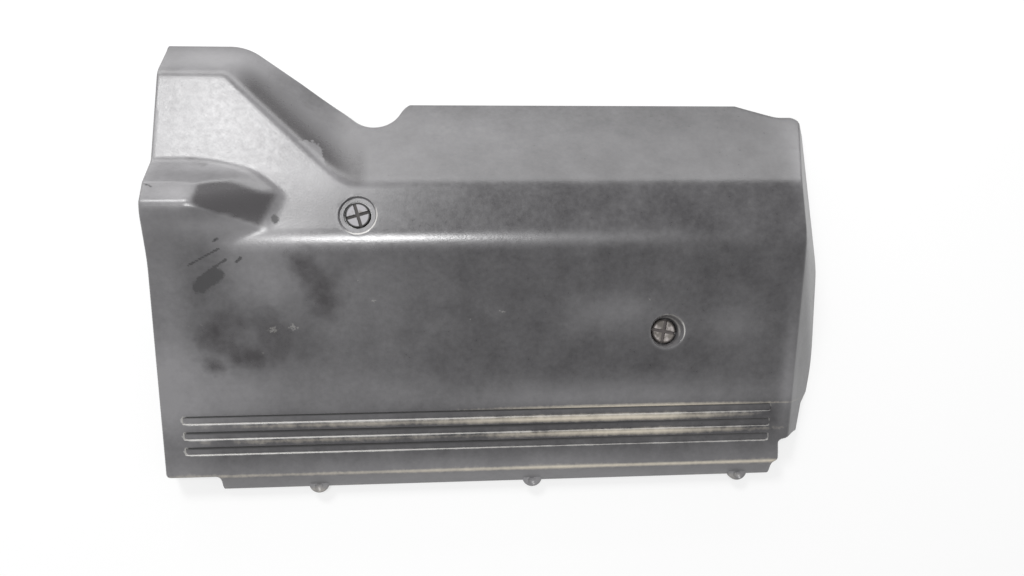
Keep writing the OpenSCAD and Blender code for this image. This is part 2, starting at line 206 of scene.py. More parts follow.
def wall_to_rim(x, y, turn, drop=0.0):
    """A wall from the roof's right end down to the rim's widest point, turned about it."""
    c, s = math.cos(math.radians(turn)), math.sin(math.radians(turn))
    rise = RIDGE_Z / ((HALF_W - RIGHT_TOP[0]) * c - (RIDGE_Y - BEND_Y) * s)
    return plane(x, y, (HALF_W, BEND_Y, 0), -rise * c, -rise * s, drop)


def right_wall(x, y, drop=0.0):
    """Height of the three walls, whichever is lowest."""
    beside_face = plane(x, y, RIGHT_TOP, -1 / FACE_END_LEAN, ROOF_RISE, drop)
    beside_ridge = wall_to_rim(x, y, -RIDGE_SIDE_TURN, drop)
    beside_deck = wall_to_rim(x, y, DECK_SIDE_TURN, drop)
    return soft_min(soft_min(beside_face, beside_ridge, WALL_REACH), beside_deck, WALL_REACH)


# %% Front skirt and the whole form
FRONT_Y = -HALF_D + 15.5
FRONT_Z = RIDGE_Z - ROOF_RISE * (RIDGE_Y - FRONT_Y)
SKIRT_X = (-206.5, 201.0)
SKIRT_RISE, SKIRT_STEP, SKIRT_REACH = math.tan(math.radians(46.8)), 0.2, 0.9
RIM_Z, RIM_Y, RIM_RUN = 8.0, FRONT_Y + 49.5, 7.5
REAR_REACH, REAR_OPENS, REAR_OPENS_X, REAR_OPENS_RUN = 3.0, 0.9, -80, 60
FORM_REACH, BLEND_ROOM = 2.4, 4


def form(x, y, drop=0.0):
    """Height of the outside without grooves and seats, or of the inside when dropped."""
    softness = REAR_REACH + REAR_OPENS * smooth_step((REAR_OPENS_X - x) / REAR_OPENS_RUN)
    height = soft_min(roof(x, y, drop), rear(x, y, drop), softness)
    height = soft_max(height, pad(x, y, drop), FORM_REACH)
    height = soft_min(height, right_wall(x, y, drop), FORM_REACH)
    skirt = plane(x, y, (0, FRONT_Y, FRONT_Z + SKIRT_STEP), 0, SKIRT_RISE, drop)
    return np.where(y < FRONT_Y + BLEND_ROOM, soft_min(height, skirt, SKIRT_REACH), height)


print("pad top", round(float(form(np.array(-230.0), np.array(38.0))), 2), "mm")

# %% [markdown]
# ## Grooves, dish and well
# Three long grooves run across the face. The left stud sits in a shallow dish and the
# right one in a deeper well with a tapered wall. They are pressed into the same heights,
# with a small radius at each edge, so light catches the edges as on the real moulding.

# %% Grooves
GROOVE_X = (-228.8, 195.3)
GROOVE_FIRST, GROOVE_STEP = 42.6, 11.4
GROOVE_Y = [FRONT_Y + GROOVE_FIRST - GROOVE_STEP * i for i in range(3)]
GROOVE_WIDTH = 5.9 * math.cos(math.radians(15))
GROOVE_DEPTH = 1.4
GROOVE_CORNER = 1.4
GROOVE_LIP, GROOVE_SIDE = 0.25, 0.75


def groove_distance(x, y, centre):
    """Distance from one groove's edge in plan, negative inside it."""
    middle, half_length = sum(GROOVE_X) / 2, (GROOVE_X[1] - GROOVE_X[0]) / 2
    qx = np.abs(x - middle) - half_length + GROOVE_CORNER
    qy = np.abs(y - centre) - GROOVE_WIDTH / 2 + GROOVE_CORNER
    return (np.hypot(np.maximum(qx, 0), np.maximum(qy, 0))
            + np.minimum(np.maximum(qx, qy), 0) - GROOVE_CORNER)


def groove_depth(x, y):
    """How far the grooves lower the face at each place."""
    return sum(GROOVE_DEPTH * smooth_step((GROOVE_LIP - groove_distance(x, y, centre)) / GROOVE_SIDE)
               for centre in GROOVE_Y)


print("groove centres, y:", [round(v, 1) for v in GROOVE_Y], "mm")

# %% Seats of the two studs
STUD_LEFT, SEAT_LEFT = np.array([-102.5, 34.3]), 53.8
STUD_RIGHT, SEAT_RIGHT = np.array([114.2, -49.5]), 32.2
HEAD_R, HEAD_T, SEAT_R, SEAT_FLOOR = 8.75, 3.6, 9.5, 3.0
DISH_R, DISH_DEPTH, DISH_LIP, DISH_SIDE = 13.0, 2.0, 0.3, 1.3
WELL_R, WELL_REACH = 12.1, 2.0


def outside_skin(x, y):
    """Height of the outside with its grooves, dish and well."""
    height = form(x, y) - groove_depth(x, y)
    away = np.hypot(x - STUD_LEFT[0], y - STUD_LEFT[1])
    height = height - DISH_DEPTH * smooth_step((DISH_R + DISH_LIP - away) / DISH_SIDE)
    away = np.hypot(x - STUD_RIGHT[0], y - STUD_RIGHT[1])
    mouth = float(form(*[np.array(v) for v in STUD_RIGHT]))
    taper = (mouth - SEAT_RIGHT - HEAD_T) / (WELL_R - SEAT_R)
    well = SEAT_RIGHT + HEAD_T + np.maximum(away - SEAT_R, 0) * taper
    return np.where(away < WELL_R + BLEND_ROOM, soft_min(height, well, WELL_REACH), height)


print("dish floor", round(float(outside_skin(*STUD_LEFT[:, None])[0]), 2), "mm")

# %% [markdown]
# The inside follows the outside at the wall's thickness. Under each stud it drops to
# leave a solid boss, and along four lines it drops to leave a rib, as moulded covers have
# under a wide roof.

# %% Inside of the wall
RIB_X = [-150.0, -50.0, 50.0, 150.0]
RIB_Y = (FRONT_Y + 35, 62.0)
RIB_DEPTH, RIB_T = 8.0, 2.0
BOSS_R = SEAT_R + WALL
GROOVE_ROOM = 5.7
SLACK = 0.05


def inside_skin(x, y):
    """Height of the inside; the slack takes in the points that lie right on an edge."""
    height = form(x, y, WALL)
    in_grooves = ((x > GROOVE_X[0] - WALL) & (x < GROOVE_X[1] + WALL)
                  & (y > GROOVE_Y[-1] - GROOVE_ROOM) & (y < GROOVE_Y[0] + GROOVE_ROOM))
    height = height - np.where(in_grooves, GROOVE_DEPTH, 0)
    for rib in RIB_X:
        on_rib = (np.abs(x - rib) < RIB_T / 2 + SLACK) & (y > RIB_Y[0]) & (y < RIB_Y[1])
        height = np.where(on_rib, height - RIB_DEPTH, height)
    away = np.hypot(x - STUD_LEFT[0], y - STUD_LEFT[1])
    height = np.where(away < DISH_R + WALL + SLACK, height - DISH_DEPTH, height)
    height = np.where(away < BOSS_R + SLACK, SEAT_LEFT - SEAT_FLOOR, height)
    away = np.hypot(x - STUD_RIGHT[0], y - STUD_RIGHT[1])
    return np.where(away < BOSS_R + SLACK, SEAT_RIGHT - SEAT_FLOOR, height)


print("wall", WALL, "mm, ribs at x", RIB_X)

# %% [markdown]
# ## Outline in plan
# The outline is walked once round, clockwise from the left front corner: straight runs,
# the big arcs of the lobe and the bowed right side. Where a flange slopes down
# to the ground it is drawn a little too long and cut level afterwards. A running average
# along the line then rounds every corner by a few millimetres.

# %% Lines and arcs in plan
STEP = 1.0


def unit(degrees):
    """A direction in plan, turned from the x axis."""
    return np.array([math.cos(math.radians(degrees)), math.sin(math.radians(degrees))])


def left_of(direction):
    """The direction a quarter turn to the left."""
    return np.array([-direction[1], direction[0]])


def meet(p, p_dir, q, q_dir):
    """Where two lines cross in plan."""
    p, p_dir, q, q_dir = (np.asarray(v, float) for v in (p, p_dir, q, q_dir))
    s = ((q - p)[0] * q_dir[1] - (q - p)[1] * q_dir[0]) / (p_dir[0] * q_dir[1] - p_dir[1] * q_dir[0])
    return p + s * p_dir


def arc(centre, radius, start, end, clockwise=True):
    """Points along a circle from one point to another, both near it."""
    a0 = math.atan2(*(np.asarray(start) - centre)[::-1])
    a1 = math.atan2(*(np.asarray(end) - centre)[::-1])
    if clockwise and a1 > a0:
        a1 -= 2 * math.pi
    if not clockwise and a1 < a0:
        a1 += 2 * math.pi
    n = max(int(abs(a1 - a0) * radius / STEP), 2)
    return [centre + radius * np.array([math.cos(a), math.sin(a)]) for a in np.linspace(a0, a1, n)]


# %% Left edge, rear rim and right side
SPARE = 1.0
LEFT_DRAFT, LEFT_HEIGHT = 2.8, 50
LEFT_X, LEFT_LEAN = -HALF_W + LEFT_DRAFT, LEFT_DRAFT / LEFT_HEIGHT
END_X, END_UP, END_LEAN = 210, 4, math.tan(math.radians(23))
REAR_SLANT_AT, REAR_SLANT = np.array([181.5, REAR_Y]), np.array([1, -0.33]) / math.hypot(1, 0.33)
REAR_CORNER, REAR_CORNER_TURN = np.array([225.2, 112.0]), -50
FRONT_CORNER, FRONT_CORNER_TURN = np.array([END_X, FRONT_Y + 18]), 14


def left_edge(y, height, drop):
    """X of the left wall where it meets the skin, found by a few repeats."""
    x = LEFT_X + drop
    for _ in range(6):
        x = LEFT_X + drop + (float(height(np.array(x), np.array(y))) - LEFT_HEIGHT) * LEFT_LEAN
    return x


def rear_and_right(drop):
    """Corners from the lobe's slant to the front corner: each line meets the next one."""
    corner, cut = unit(REAR_CORNER_TURN), unit(FRONT_CORNER_TURN)
    bend = np.array([HALF_W + SPARE - drop, BEND_Y])
    face_side = np.array([ROOF_RISE * FACE_END_LEAN, 1.0])
    face_side /= np.hypot(*face_side)
    foot_x = RIGHT_TOP[0] + (RIDGE_Z - ROOF_RISE * RIDGE_Y) * FACE_END_LEAN
    foot = np.array([foot_x + SPARE - drop, 0.0])
    end_x = END_X - drop - (FRONT_Z + END_UP - RIM_Z) * END_LEAN
    lines = [((DIAGONAL_AT + SPARE) * diagonal_out, diagonal_along),
             ((0, REAR_Y + SPARE), (1, 0)),
             (REAR_SLANT_AT - drop * left_of(REAR_SLANT), REAR_SLANT),
             ((0, REAR_CORNER[1] - drop), (1, 0)),
             (REAR_CORNER - drop * left_of(corner), corner),
             (bend, left_of(unit(DECK_SIDE_TURN))), (bend, left_of(unit(-RIDGE_SIDE_TURN))),
             (foot, face_side), (FRONT_CORNER + drop * left_of(cut), cut), ((end_x, 0), (0, 1))]
    return [meet(*line, *after) for line, after in zip(lines, lines[1:])]


print("right side:", len(rear_and_right(0)), "corners")


# %% Even spacing and soft corners
def even_line(line, tilt, soften=3):
    """Evens out the spacing, then averages each point with its neighbours."""
    length = np.hypot(*(np.roll(line, -1, 0) - line).T)
    at = np.concatenate([[0], np.cumsum(length)])
    closed = np.vstack([line, line[:1]])
    leaning = np.vstack([tilt, tilt[:1]])
    s = np.linspace(0, at[-1], int(at[-1] / STEP), endpoint=False)
    line = np.column_stack([np.interp(s, at, closed[:, k]) for k in (0, 1)])
    tilt = np.column_stack([np.interp(s, at, leaning[:, k]) for k in (0, 1)])
    shifts = range(-soften, soften + 1)
    return (sum(np.roll(line, k, 0) for k in shifts) / len(shifts),
            sum(np.roll(tilt, k, 0) for k in shifts) / len(shifts))


# %% Once round the outline
FRONT_LEAN = math.tan(math.radians(3))


def outline(height, drop):
    """Points of the outline and how far each leans out per millimetre of descent."""
    front, top = FRONT_Y + drop, LOBE_Y + SPARE
    left = [(left_edge(y, height, drop), y) for y in np.arange(front, top, 2.0)]
    lobe_end = lobe_centre + (LOBE_CORNER_R + SPARE) * diagonal_out
    lobe = arc(lobe_centre, LOBE_CORNER_R + SPARE, lobe_centre + np.array([0.0, 1]), lobe_end)
    end_x = END_X - drop - (FRONT_Z - RIM_Z) * END_LEAN
    skirt_left, skirt_right = SKIRT_X[0] + drop, SKIRT_X[1] - drop
    skirt_y = FRONT_Y - (FRONT_Z + SKIRT_STEP - RIM_Z) / SKIRT_RISE - SPARE
    runs = [(left, (-LEFT_LEAN, 0)),
            ([(left[-1][0], top)] + lobe + rear_and_right(drop), (0, 0)),
            ([(end_x, front)], (END_LEAN, 0)),
            ([(skirt_right, front)], (0, -FRONT_LEAN)),
            ([(skirt_right, skirt_y), (skirt_left, skirt_y), (skirt_left, front)], (0, 0)),
            ([(left[0][0], front)], (0, -FRONT_LEAN))]
    corners = [np.asarray(point, float) for points, _ in runs for point in points]
    leans = [lean for points, lean in runs for _ in points]
    line, tilt = [], []
    for i, point in enumerate(corners):
        after = corners[(i + 1) % len(corners)]
        n = max(int(round(np.hypot(*(after - point)) / STEP)), 1)
        line += [point + s * (after - point) for s in np.arange(n) / n]
        tilt += [leans[(i + 1) % len(corners)]] * n
    return even_line(np.array(line), np.array(tilt, float))


print("outline:", len(outline(outside_skin, 0.0)[0]), "points")

# %% [markdown]
# ## From heights to a closed mesh
# Points are laid in plan: the outline, rows just inside it for the rounded edge, rings
# round the seats and a grid whose rows are close together at bends and grooves. A
# Delaunay triangulation joins them, each point is lifted to its height, and walls and a
# bottom close the block. Cutting the inner block from the outer one leaves the shell.

# %% Points in plan
CLEAR_OF_EDGE, CLEAR_OF_RINGS = 2.2, 1.1
EDGE_R = 1.6
EDGE_ROWS = (0.15, 0.5, 1.0, 1.6)


def grid_lines(start, end, step, extra):
    """Grid positions with closer ones added; plain ones next to an added one are left out."""
    extra = np.array(sorted(extra))
    plain = np.arange(start, end, step)
    plain = plain[np.abs(plain[:, None] - extra).min(1) > step * 0.4]
    return np.sort(np.concatenate([plain, extra]))


def inside_polygon(points, line):
    """Which points lie inside the closed line."""
    inside = np.zeros(len(points), bool)
    x, y = points.T
    for (ax, ay), (bx, by) in zip(line, np.roll(line, -1, 0)):
        if ay != by:
            crossing = ((ay > y) != (by > y)) & (x < (bx - ax) * (y - ay) / (by - ay) + ax)
            inside ^= crossing
    return inside


# %% Which points are kept
def search_tree(points):
    """A tree that finds the nearest of many points quickly."""
    tree = KDTree(len(points))
    for i, (x, y) in enumerate(points):
        tree.insert((x, y, 0), i)
    tree.balance()
    return tree


def well_inside(points, line):
    """The points that lie inside the outline and not close to it."""
    tree = search_tree(line)
    near = np.array([tree.find((x, y, 0))[2] for x, y in points])
    return points[(near > CLEAR_OF_EDGE) & inside_polygon(points, line)]


def points_in_plan(line, columns, rows, loops, rounded):
    """Grid and ring points inside the outline, with rows beside it where it is rounded."""
    grid = well_inside(np.array(np.meshgrid(columns, rows)).reshape(2, -1).T, line)
    rings = np.vstack(loops)
    tree = search_tree(rings)
    clear = np.array([tree.find((x, y, 0))[2] > CLEAR_OF_RINGS for x, y in grid])
    parts = [grid[clear], well_inside(rings, line)]
    if rounded:
        tangent = np.roll(line, -1, 0) - np.roll(line, 1, 0)
        tangent /= np.hypot(*tangent.T)[:, None]
        inward = np.column_stack([tangent[:, 1], -tangent[:, 0]])
        parts += [line[::2] + inward[::2] * d for d in EDGE_ROWS]
    return np.vstack(parts)


# %% [markdown]
# The wall under each point of the outline leans as a moulded wall has to, so that the
# cover leaves its mould. The bottom lies below the ground and is cut off later, which
# gives a level rim.

# %% Rounded edge
BLOCK_FOOT = -12.0
LOW_WALL = 6


def round_edge(x, y, z, line, tree, height):
    """Lowers points near the outline by a quarter circle, less where the wall is low."""
    found = [tree.find((px, py, 0)) for px, py in zip(x, y)]
    rim = np.where(line[:, 1] < RIM_Y, RIM_Z, 0)
    full = np.clip((height(*line.T) - rim) / LOW_WALL, 0, 1)[[near for _, near, _ in found]]
    inner = np.clip(EDGE_R - np.array([gap for _, _, gap in found]), 0, EDGE_R)
    return z - full * (EDGE_R - np.sqrt(EDGE_R**2 - inner**2))


# %% Leaning walls and bottom
def close_below(mesh, tree, tilt):
    """Adds the leaning walls and the flat bottom under an open skin."""
    border = [e for e in mesh.edges if len(e.link_faces) == 1]
    low, after = {}, {}
    for edge in border:
        for vert in edge.verts:
            if vert not in low:
                _, near, _ = tree.find((vert.co.x / MM, vert.co.y / MM, 0))
                down = max(vert.co.z / MM - BLOCK_FOOT, 0)
                low[vert] = mesh.verts.new((vert.co.x + tilt[near][0] * down * MM,
                                            vert.co.y + tilt[near][1] * down * MM, BLOCK_FOOT * MM))
    for edge in border:
        loop = edge.link_loops[0]
        a, b = loop.vert, loop.link_loop_next.vert
        after[b] = a
        mesh.faces.new([b, a, low[a], low[b]])
    vert = start = border[0].link_loops[0].vert
    bottom = []
    while not bottom or vert != start:
        bottom.append(low[vert])
        vert = after[vert]
    mesh.faces.new(bottom)
    bmesh.ops.recalc_face_normals(mesh, faces=mesh.faces)


# %% A whole block
def link_mesh(name, mesh):
    """Turns a bmesh into an object in the scene."""
    made = bpy.data.objects.new(name, bpy.data.meshes.new(name))
    mesh.to_mesh(made.data)
    mesh.free()
    bpy.context.scene.collection.objects.link(made)
    return made


def block(name, height, drop, columns, rows, loops, rounded):
    """A closed solid under the height function, down to the block's foot."""
    line, tilt = outline(height, drop)
    tree = search_tree(line)
    every = np.vstack([line, points_in_plan(line, columns, rows, loops, rounded)])
    flat, _, faces, *_ = delaunay_2d_cdt([Vector(p) for p in every], [], [list(range(len(line)))], 1, 1e-4)
    x, y = np.array([v[:] for v in flat]).T
    z = height(x, y)
    if rounded:
        z = round_edge(x, y, z, line, tree, height)
    mesh = bmesh.new()
    verts = [mesh.verts.new(Vector(p) * MM) for p in zip(x, y, z)]
    for face in faces:
        mesh.faces.new([verts[i] for i in face])
    close_below(mesh, tree, tilt)
    made = link_mesh(name, mesh)
    print(name, len(made.data.vertices), "points,", len(made.data.polygons), "faces")
    return made


# %% [markdown]
# Light shows every facet along a bend, so the grid is closest there, and rows that follow
# the slanting bends are added beside them. Wide plane areas need no more than 2.2 mm,
# which is fine enough for the soft marks that are stored on the points later.

# %% Rows, columns and rings of the outer block
def ring(centre, radius, step=1.0):
    """Points on a circle, about one step apart."""
    n = int(2 * math.pi * radius / step)
    a = np.arange(n) / n * 2 * math.pi
    return centre + radius * np.column_stack([np.cos(a), np.sin(a)])


def beside(start, end, offsets, step):
    """Rows of points on both sides of a straight bend."""
    start, end = np.asarray(start, float), np.asarray(end, float)
    along = (end - start) / np.hypot(*(end - start))
    s = np.arange(0, np.hypot(*(end - start)), step)
    return [start + s[:, None] * along + d * left_of(along) for d in offsets]


RIDGE_ROWS = (0.7, 1.5, 2.3, 3.2, 4.2, 5.2, 6.4, 7.5, 8.6)
REAR_ROWS = (1, 2, 3, 4.2, 5.4)
OUTER_GRID, FINE_GRID = 2.2, 1.1
rear_bend = (RIDGE_Z + ROOF_RISE * RIDGE_Y - REAR_RISE * REAR_Y) / (ROOF_RISE - REAR_RISE)
fine_rows = [RIDGE_Y, rear_bend]
fine_rows += [RIDGE_Y + side * d for side in (-1, 1) for d in RIDGE_ROWS]
fine_rows += [rear_bend + side * d for side in (-1, 1) for d in REAR_ROWS]
fine_rows += list(np.arange(-14.5, 9, FINE_GRID))
fine_rows += [PAD_Y + d for d in (-20, -19, -18, -17, -1, 0, 1, 2)]
fine_rows += [g + side * (GROOVE_WIDTH / 2 + d) for g in GROOVE_Y for side in (-1, 1)
              for d in (-0.55, -0.3, -0.1, 0.1, 0.3)]
fine_rows += [FRONT_Y + d for d in (-1.2, -0.6, 0, 0.6, 1.2)]
fine_columns = [GROOVE_X[0] + d for d in (-0.3, 0, 0.3, 0.7)]
fine_columns += [GROOVE_X[1] + d for d in (-0.7, -0.3, 0, 0.3)]
fine_columns += list(np.arange(-219, -176, FINE_GRID))
fine_columns += [RIGHT_TOP[0] + d for d in (-1.5, -0.9, -0.3, 0.3, 0.9, 1.5)]
outer_loops = [ring(STUD_LEFT, r) for r in (9, 12, 12.4, 12.7, 13, 13.3, 13.8)]
outer_loops += [ring(STUD_RIGHT, r) for r in (9, 9.5, 10.5, 11.3, 11.8, 12.2, 12.6, 13.1, 14)]
# Each bend is its two ends, the distances of the rows beside it and the step along them.
BENDS = (((-240, 138.8), (-196, 138.8), (0.5, 1.6, 2.8), 1.8),
         ((-194, 138), (-114, 60.5), (0.5, 1.6, 2.8), 1.8),
         ((212, 57), (229, 108), (0, 0.7, 1.4, 2.1), 1.2), ((211, 16), (244, -90), (0, 1.1, 2.2), 1.5),
         ((210.8, 20), (212, 55), (0, 0.8, 1.6), 1.5), ((211, 16), (244, -4), (0, 1.4), 1.5))
for start, end, distances, step in BENDS:
    outer_loops += beside(start, end, sorted({side * d for side in (-1, 1) for d in distances}), step)
outer_rows = grid_lines(-HALF_D, HALF_D, OUTER_GRID, fine_rows)
outer_columns = grid_lines(-HALF_W, HALF_W, OUTER_GRID, fine_columns)
outer = block("outer_block", outside_skin, 0.0, outer_columns, outer_rows, outer_loops, True)

# %% Inner block
NICK = 0.25
rib_columns = [r + side * d for r in RIB_X for side in (-1, 1) for d in (RIB_T / 2, RIB_T / 2 + 0.2)]
rib_rows = [edge + side * 0.1 for edge in RIB_Y for side in (-1, 1)]
rib_rows += [RIDGE_Y - 2, RIDGE_Y, RIDGE_Y + 2]
inner_loops = [ring(STUD_LEFT, r, 1.5)
               for r in (BOSS_R, BOSS_R + NICK, DISH_R + WALL, DISH_R + WALL + NICK)]
inner_loops += [ring(STUD_RIGHT, r, 1.5) for r in (BOSS_R, BOSS_R + NICK)]
near_right_wall = list(np.arange(202, HALF_W, 1.5))
inner_columns = grid_lines(-HALF_W, HALF_W, 4, rib_columns + near_right_wall)
inner_rows = grid_lines(-HALF_D, HALF_D, 3, rib_rows)
inner = block("inner_block", inside_skin, WALL, inner_columns, inner_rows, inner_loops, False)

# %% [markdown]
# ## Cutting and joining
# Small turned tools are made by spinning a profile, and Blender's Boolean modifier takes
# them away or adds them, as the mould's cores do: the level rim, the pockets for the two
# heads, the shank holes, and the three ears with their hollow pegs.

# %% Cutting tools
def turned(name, profile, centre, segments=64):
    """A closed solid of revolution: profile holds (radius, height) from bottom to top."""
    mesh = bmesh.new()
    rings = []
    for radius, height in profile:
        angles = np.arange(segments) / segments * 2 * math.pi
        rings.append([mesh.verts.new(Vector((centre[0] + radius * math.cos(a),
                                             centre[1] + radius * math.sin(a), height)) * MM)
                      for a in angles])
    for below, above in zip(rings, rings[1:]):
        for i in range(segments):
            j = (i + 1) % segments
            mesh.faces.new([below[i], below[j], above[j], above[i]])
    mesh.faces.new(rings[0][::-1])
    mesh.faces.new(rings[-1])
    bmesh.ops.recalc_face_normals(mesh, faces=mesh.faces)
    return link_mesh(name, mesh)


def box_solid(name, low, high):
    """A plain block between two corners."""
    mesh = bmesh.new()
    bmesh.ops.create_cube(mesh, size=1)
    for vert in mesh.verts:
        vert.co = Vector([(low[k] if vert.co[k] < 0 else high[k]) * MM for k in range(3)])
    return link_mesh(name, mesh)


# %% One Boolean step
def combine(body, tool, operation):
    """Applies one Boolean step and throws the tool away."""
    modifier = body.modifiers.new("combine", "BOOLEAN")
    modifier.operation = operation
    modifier.solver = "MANIFOLD"
    modifier.object = tool
    bpy.context.view_layer.update()
    shown = body.evaluated_get(bpy.context.evaluated_depsgraph_get())
    result = bpy.data.meshes.new_from_object(shown)
    body.modifiers.clear()
    body.data = result
    bpy.data.objects.remove(tool)


# %% Cut the shell
FAR = 300
SHANK_HOLE_R = 4.08
shell = outer
combine(shell, inner, "DIFFERENCE")
combine(shell, box_solid("ground", (-FAR, -FAR, -30), (FAR, FAR, 0)), "DIFFERENCE")
front_gap = box_solid("front_gap", (-FAR, -FAR, -RIM_Z), (FAR, RIM_Y, RIM_Z))
for vert in front_gap.data.vertices:
    if vert.co.y > -200 * MM:
        vert.co.y -= math.copysign(RIM_RUN * MM, vert.co.z)
combine(shell, front_gap, "DIFFERENCE")
for centre, seat in ((STUD_LEFT, SEAT_LEFT), (STUD_RIGHT, SEAT_RIGHT)):
    pocket = turned("pocket", [(SEAT_R, seat), (SEAT_R, seat + 25)], centre, 96)
    combine(shell, pocket, "DIFFERENCE")
    hole = turned("shank_hole", [(SHANK_HOLE_R, seat - 20), (SHANK_HOLE_R, seat + 1)], centre, 48)
    combine(shell, hole, "DIFFERENCE")
print("shell after cutting:", len(shell.data.polygons), "faces")

# %% [markdown]
# The rim is cut open between the lobe and the rear flange, as for a hose. The opening is
# round with a blunt mouth on each side. Its outline is walked like the cover's own, evened
# out so that the corners are soft, and pulled up to a tall block that cuts through the rim.

# %% Hose cut-out
HOSE_CENTRE, HOSE_R = np.array([-94.4, 123.2]), 21.3
HOSE_LOW, HOSE_HIGH = -5, 80
HOSE_SOFTEN = 4
hose_arc = arc(HOSE_CENTRE, HOSE_R, (-110, 108.5), (-75.5, 112), False)
hose_line = [(-150, 138.5), (-114, 112)] + hose_arc
hose_line = np.array(hose_line + [(-73.5, 118), (-68, 123), (-50, 124), (-50, 150), (-150, 150)])
hose_line, _ = even_line(hose_line, np.zeros((len(hose_line), 2)), HOSE_SOFTEN)
mesh = bmesh.new()
mesh.faces.new([mesh.verts.new(Vector((x, y, HOSE_LOW)) * MM) for x, y in hose_line])
lifted = bmesh.ops.extrude_face_region(mesh, geom=list(mesh.faces))
lifted = [part for part in lifted["geom"] if isinstance(part, bmesh.types.BMVert)]
bmesh.ops.translate(mesh, vec=(0, 0, HOSE_HIGH * MM), verts=lifted)
bmesh.ops.recalc_face_normals(mesh, faces=mesh.faces)
combine(shell, link_mesh("hose_cut", mesh), "DIFFERENCE")
print("hose cut-out:", len(hose_line), "points round it")

# %% [markdown]
# Three ears stand out below the skirt. Each is a short round post with a dimple on top
# and a hollow peg below, which locates the cover on the engine. One profile turned round
# an axis makes the post and the peg together.

# %% Ears and pegs
EAR_R, EAR_LOW, EAR_TOP = 7.5, 5.0, 10.5
PEG_R, PEG_BORE_R, PEG_BORE = 5.5, 3.2, 6.5
PEG_X = [19.3 + 157 * i for i in (-1, 0, 1)]
PEG_Y = -HALF_D + EAR_R
DIMPLE_Y = PEG_Y - EAR_R + 4.2
CORE = 0.3
ear_profile = [(CORE, 0), (PEG_R - 0.5, 0), (PEG_R, 0.5), (PEG_R, EAR_LOW), (EAR_R - 0.4, EAR_LOW),
               (EAR_R, EAR_LOW + 0.5), (EAR_R, EAR_TOP - 1.2), (EAR_R - 0.4, EAR_TOP - 0.4),
               (EAR_R - 1.2, EAR_TOP), (CORE, EAR_TOP)]
dimple_profile = [(CORE, 9.1), (1.5, 9.25), (2.5, 9.8), (3.2, 10.4), (3.9, 10.9), (3.9, 13)]
bore_profile = [(PEG_BORE_R, -1), (PEG_BORE_R, PEG_BORE - 0.6), (2.6, PEG_BORE)]
for peg_x in PEG_X:
    ear = turned("ear", ear_profile, (peg_x, PEG_Y))
    combine(ear, turned("dimple", dimple_profile, (peg_x, DIMPLE_Y), 48), "DIFFERENCE")
    combine(ear, turned("bore", bore_profile, (peg_x, PEG_Y), 48), "DIFFERENCE")
    combine(shell, ear, "UNION")
print("shell with ears:", len(shell.data.polygons), "faces")

# %% Clean and shade the shell
SHARP = math.radians(32)
shell.name = "moulded_cover"
mesh = bmesh.new()
mesh.from_mesh(shell.data)
bmesh.ops.remove_doubles(mesh, verts=mesh.verts, dist=0.02 * MM)
bmesh.ops.triangulate(mesh, faces=[f for f in mesh.faces if len(f.verts) > 4])
for face in mesh.faces:
    face.smooth = True
for edge in mesh.edges:
    edge.smooth = len(edge.link_faces) == 2 and edge.calc_face_angle(0) < SHARP
odd_edges = sum(1 for e in mesh.edges if len(e.link_faces) != 2)
mesh.to_mesh(shell.data)
mesh.free()
print("edges not shared by two faces:", odd_edges, " size:", [round(v / MM, 2) for v in shell.dimensions])

# %% Put the cover on its body
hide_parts("cover_shell")
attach(shell, "cover")
print("cover_shell is now drawn by", shell.name)

# %% [markdown]
# ## What years of use have left on the cover, and painted light
# The real cover is used. A thin film of dry dust lies on it, wiped away in blotches by hands
# and rags, and the same pale film is laid on thicker in places as painted sheen. Liquid has
# dried to a tide mark at the end of the slanting bend, something has scuffed the face below
# the pad, and beige road dust sits between the grooves. Painted highlights lie along the
# grooves' lower edges, the face's front edge and round the studs, and painted shade darkens
# a band past the lobe's bend, the pad's ramp, the dish's shaded side and the grooves' upper
# corners. Where each of these lies is a smooth field stored on the mesh, and the material
# breaks the fields up with noise. That needs far fewer nodes than building every oval in the
# shader.

# %% Soft ovals and strokes on the mesh
EAR_SHARE = 0.45
places = np.empty(len(shell.data.vertices) * 3)
shell.data.vertices.foreach_get("co", places)
px, py, pz = places.reshape(-1, 3).T / MM
outer_side = np.clip((pz - outside_skin(px, py) + 1.4) / 0.8, 0, 1)
on_ears = (py < FRONT_Y) & (pz > 9)
outer_side[on_ears] = np.maximum(outer_side[on_ears], EAR_SHARE)


def bell(distance, half_width):
    """1 at no distance, falling smoothly to nothing."""
    return np.exp(-(distance / half_width) ** 2)


def spot(x, y, half_length, half_width, turn=0.0):
    """A soft oval, 1 in its middle; sizes in millimetres, turn in degrees."""
    c, s = math.cos(math.radians(turn)), math.sin(math.radians(turn))
    u, v = (px - x) * c + (py - y) * s, (py - y) * c - (px - x) * s
    return bell(u, half_length) * bell(v, half_width)


def stroke(start, end, half_width):
    """A soft line between two points in plan."""
    (ax, ay), (bx, by) = start, end
    share = ((px - ax) * (bx - ax) + (py - ay) * (by - ay)) / ((bx - ax) ** 2 + (by - ay) ** 2)
    share = np.clip(share, 0, 1)
    return bell(np.hypot(px - ax - share * (bx - ax), py - ay - share * (by - ay)), half_width)


def store(name, field):
    """Keeps one number per point of the mesh, on the outer skin only."""
    layer = shell.data.attributes.new(name, "FLOAT", "POINT")
    layer.data.foreach_set("value", np.clip(field * outer_side, 0, 1).astype(np.float32))
    print(name, "mean", round(float(field.mean()), 3))
